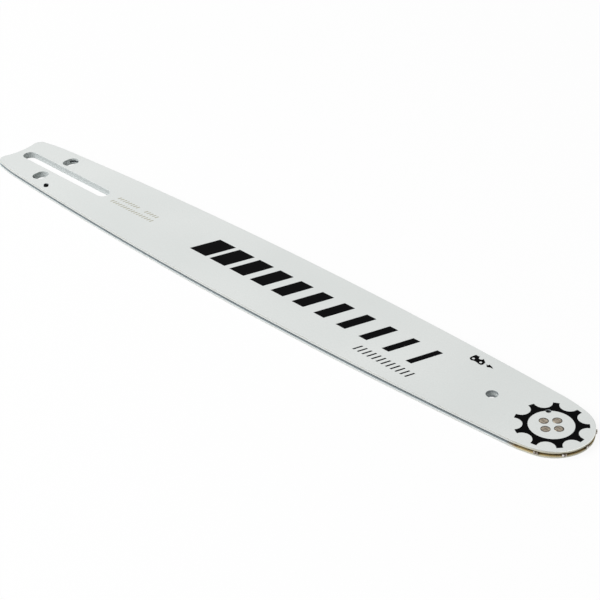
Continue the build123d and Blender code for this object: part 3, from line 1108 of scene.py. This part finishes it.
class GUIDEBAR_OT_etched_marks(bpy.types.Operator):
    """Etch two faint rows of plain marks beside the stud slot"""

    bl_idname = "guide_bar.etched_marks"
    bl_label = "Etched Marks"

    # Marks in each run, and the middle of its first mark in millimetres from the nose axle
    RUNS = ((8, -330.5, 2.7), (5, -306.0, 2.7), (16, -331.5, -2.4))

    def execute(self, context):
        settings = context.scene.guide_bar
        sign = settings.signs
        rows = [{"Count": marks, "Start": ink_middle(x * MM, y * MM)} for marks, x, y in self.RUNS]
        shared = {
            "Pitch": sign.etch_pitch, "Height": sign.etch_height, "First Width": sign.etch_width,
            "Last Width": sign.etch_width, "Slant": sign.slant, "Thickness": sign.film,
            "Material": finished(etched_grey, settings.finish),
        }
        piece = bar_rows("etched_marks", rows, **shared)
        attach(piece, "bar")
        return {"FINISHED"}


class GUIDEBAR_OT_direction_sign(bpy.types.Operator):
    """Print the sign that shows which way the chain runs: a cutter link and an arrow"""

    bl_idname = "guide_bar.direction_sign"
    bl_label = "Direction Sign"

    # Millimetres from the link's middle; a True point is a sharp corner and the others are rounded through
    LINK = (
        (-4.4, -0.4, False), (-4.2, 1.7, False), (-3.7, 3.6, True), (-2.5, 3.4, False), (-1.2, 3.6, True),
        (-0.9, 2.5, False), (-0.5, 1.9, False), (0.9, 1.9, False), (1.4, 2.4, False), (1.6, 3.3, True),
        (4.3, 1.3, True), (4.5, -0.4, False), (4.3, -1.5, False), (3.7, -2.0, False), (2.4, -2.0, False),
        (0.9, -1.6, False), (-1.2, -1.5, False), (-2.7, -2.0, False), (-3.9, -1.4, False),
    )
    DOTS = ((-2.6, 0.0), (2.4, -0.2))
    ARROW = (
        (5.6, 0.5, True), (6.8, 0.3, True), (7.0, 1.4, True), (9.2, 0.7, True), (10.9, -0.4, True),
        (9.1, -0.4, True), (7.4, -1.4, True), (6.4, -0.3, True),
    )

    def execute(self, context):
        settings = context.scene.guide_bar
        sign = settings.signs
        drawing = bpy.data.curves.new("direction_sign", "CURVE")
        drawing.dimensions = "2D"
        drawing.fill_mode = "BOTH"
        drawing.extrude = sign.film
        dot = sign.link_dot / MM
        around_dot = ((dot, 0), (0, dot), (-dot, 0), (0, -dot))
        dots = [[(x + across, y + up, False) for across, up in around_dot] for x, y in self.DOTS]
        for corners in (self.LINK, self.ARROW, *dots):
            spline = drawing.splines.new("BEZIER")
            spline.bezier_points.add(len(corners) - 1)
            spline.use_cyclic_u = True
            for point, (x, y, sharp) in zip(spline.bezier_points, corners):
                point.co = (x * MM, y * MM, 0)
                point.handle_left_type = "VECTOR" if sharp else "AUTO"
                point.handle_right_type = "VECTOR" if sharp else "AUTO"
        sketch = show("direction_sketch", drawing)
        mesh = plain_mesh(sketch)
        bpy.data.objects.remove(sketch)
        weld = 0.1 * sign.film
        shape = bmesh.new()
        shape.from_mesh(mesh)
        bmesh.ops.remove_doubles(shape, verts=shape.verts, dist=weld)
        bmesh.ops.recalc_face_normals(shape, faces=shape.faces)
        shape.to_mesh(mesh)
        shape.free()
        mesh.transform(Matrix.Translation(ink_middle(*sign.link_place)))
        mesh.materials.clear()
        mesh.materials.append(finished(black_ink, settings.finish))
        mesh.name = "direction_sign"
        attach(show("direction_sign", mesh), "bar")
        return {"FINISHED"}


class GUIDEBAR_OT_stage(bpy.types.Operator):
    """Set up the white floor, the soft light and the camera"""

    bl_idname = "guide_bar.stage"
    bl_label = "Stage"

    def execute(self, context):
        scene = context.scene
        stage = scene.guide_bar.stage
        scene.view_settings.view_transform = "Standard"

        camera = show("camera", bpy.data.cameras.new("camera"))
        camera.data.lens = stage.lens
        camera.data.sensor_width = stage.sensor
        camera.matrix_world = (
            Matrix.Translation(AXLE + Vector(stage.aim))
            @ Matrix.Rotation(stage.azimuth, 4, "Z")
            @ Matrix.Rotation(math.pi / 2 - stage.elevation, 4, "X")
            @ Matrix.Rotation(-stage.roll, 4, "Z")
            @ Matrix.Translation((0, 0, stage.distance))
        )
        scene.camera = camera

        reach = stage.floor_size / 2
        corners = [(-reach, -reach), (reach, -reach), (reach, reach), (-reach, reach)]
        mesh = bpy.data.meshes.new("floor")
        mesh.from_pydata([(x, y, -stage.floor_drop) for x, y in corners], [], [range(4)])
        mesh.materials.append(white_floor(stage.floor_white))
        floor = show("floor", mesh)

        scene.world = white_world(stage.sky)
        softbox = show("softbox", bpy.data.lights.new("softbox", "AREA"))
        softbox.data.size = stage.softbox_size
        softbox.data.energy = stage.softbox_power
        softbox.location = stage.softbox_place
        softbox.rotation_euler = (-softbox.location).to_track_quat("-Z", "Y").to_euler()
        return {"FINISHED"}


OPERATORS = (
    GUIDEBAR_OT_side_plates,
    GUIDEBAR_OT_core,
    GUIDEBAR_OT_bearing,
    GUIDEBAR_OT_sprocket,
    GUIDEBAR_OT_rivets,
    GUIDEBAR_OT_star_print,
    GUIDEBAR_OT_band_print,
    GUIDEBAR_OT_etched_marks,
    GUIDEBAR_OT_direction_sign,
    GUIDEBAR_OT_stage,
)


class GUIDEBAR_PT_dresser(bpy.types.Panel):
    """Buttons for the pieces of the dressed bar and for its stage"""

    bl_label = "Guide Bar"
    bl_space_type = "VIEW_3D"
    bl_region_type = "UI"
    bl_category = "Guide Bar"

    def draw(self, context):
        for each in OPERATORS:
            self.layout.operator(each.bl_idname)


CLASSES = (
    GuideBarOutline,
    GuideBarNose,
    GuideBarSigns,
    GuideBarFinish,
    GuideBarStage,
    GuideBarSettings,
    *OPERATORS,
    GUIDEBAR_PT_dresser,
)


def register():
    for each in CLASSES:
        bpy.utils.register_class(each)
    bpy.types.Scene.guide_bar = PointerProperty(type=GuideBarSettings)


def unregister():
    del bpy.types.Scene.guide_bar
    for each in reversed(CLASSES):
        bpy.utils.unregister_class(each)


def main():
    """Dress the bar piece by piece, and note the size of the frame and of the dressed bar."""
    register()
    bpy.ops.guide_bar.side_plates()
    bpy.ops.guide_bar.core()
    bpy.ops.guide_bar.bearing()
    bpy.ops.guide_bar.sprocket()
    bpy.ops.guide_bar.rivets()
    bpy.ops.guide_bar.star_print()
    bpy.ops.guide_bar.band_print()
    bpy.ops.guide_bar.etched_marks()
    bpy.ops.guide_bar.direction_sign()
    bpy.ops.guide_bar.stage()


if __name__ == "__main__":
    main()
